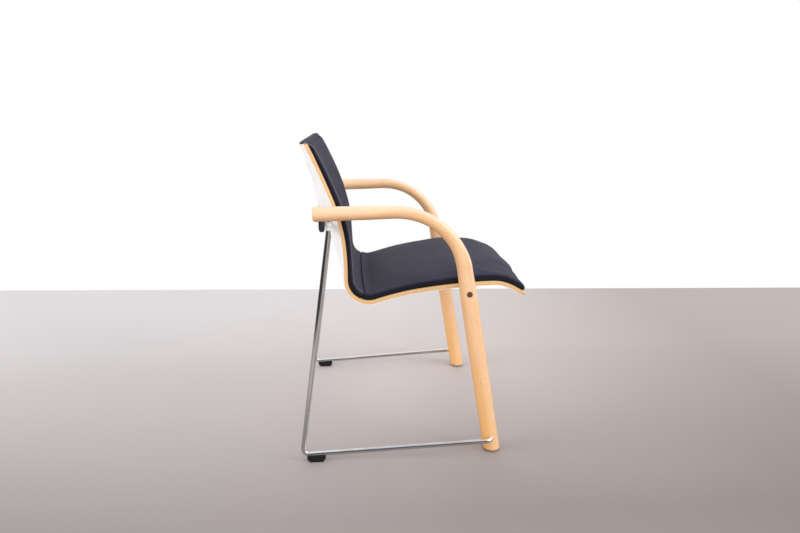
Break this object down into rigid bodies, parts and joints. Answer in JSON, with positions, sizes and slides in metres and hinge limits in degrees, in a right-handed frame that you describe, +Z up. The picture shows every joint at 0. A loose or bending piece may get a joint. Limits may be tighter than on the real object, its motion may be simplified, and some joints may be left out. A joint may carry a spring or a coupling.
{
  "type": "visitor chair",
  "caption": "Visitor chair with bentwood arm-legs, bright bent side rods, a moulded plywood shell and separate cloth-covered seat and back pads.",
  "frame": {"origin": "on the floor, under the middle of the chair's bounding box", "axes": "+Z up; -Y is the way the sitter faces; +X is the sitter's left; the chair is symmetric about X = 0"},
  "size_m": [0.5972, 0.5752, 0.7874],
  "materials": {
    "beech": "clear satin lacquer over laminated bent beech",
    "beech_ply": "clear satin lacquer over moulded beech plywood",
    "pale_laminate": "smooth pale laminate skin, slightly glossy",
    "chrome": "polished chrome plate",
    "black_steel": "black powder coat",
    "zinc_steel": "bright zinc plate",
    "black_plastic": "fine-textured black moulding",
    "charcoal_cloth": "fine wool-like upholstery cloth over foam"
  },
  "bodies": {
    "root": {"arm_leg_right": "beech", "arm_leg_left": "beech", "side_rod_right": "chrome", "side_rod_left": "chrome", "rod_collar_right": "chrome", "rod_collar_left": "chrome", "rear_glide_right": "black_plastic", "rear_glide_left": "black_plastic", "foot_glide_right": "zinc_steel", "foot_glide_left": "zinc_steel", "leg_bolt_right": "black_steel", "leg_bolt_left": "black_steel", "rear_crossbar": "black_steel", "front_crossbar": "black_steel", "seat_shell": "beech_ply", "shell_laminate": "pale_laminate", "seat_pad": "charcoal_cloth", "back_pad": "charcoal_cloth", "front_clip_right": "black_plastic", "front_clip_left": "black_plastic", "rear_clip": "black_plastic", "front_clip_right_screw_1": "zinc_steel", "front_clip_right_screw_2": "zinc_steel", "front_clip_left_screw_1": "zinc_steel", "front_clip_left_screw_2": "zinc_steel", "rear_clip_screw_1": "zinc_steel", "rear_clip_screw_2": "zinc_steel"}
  },
  "joints": []
}
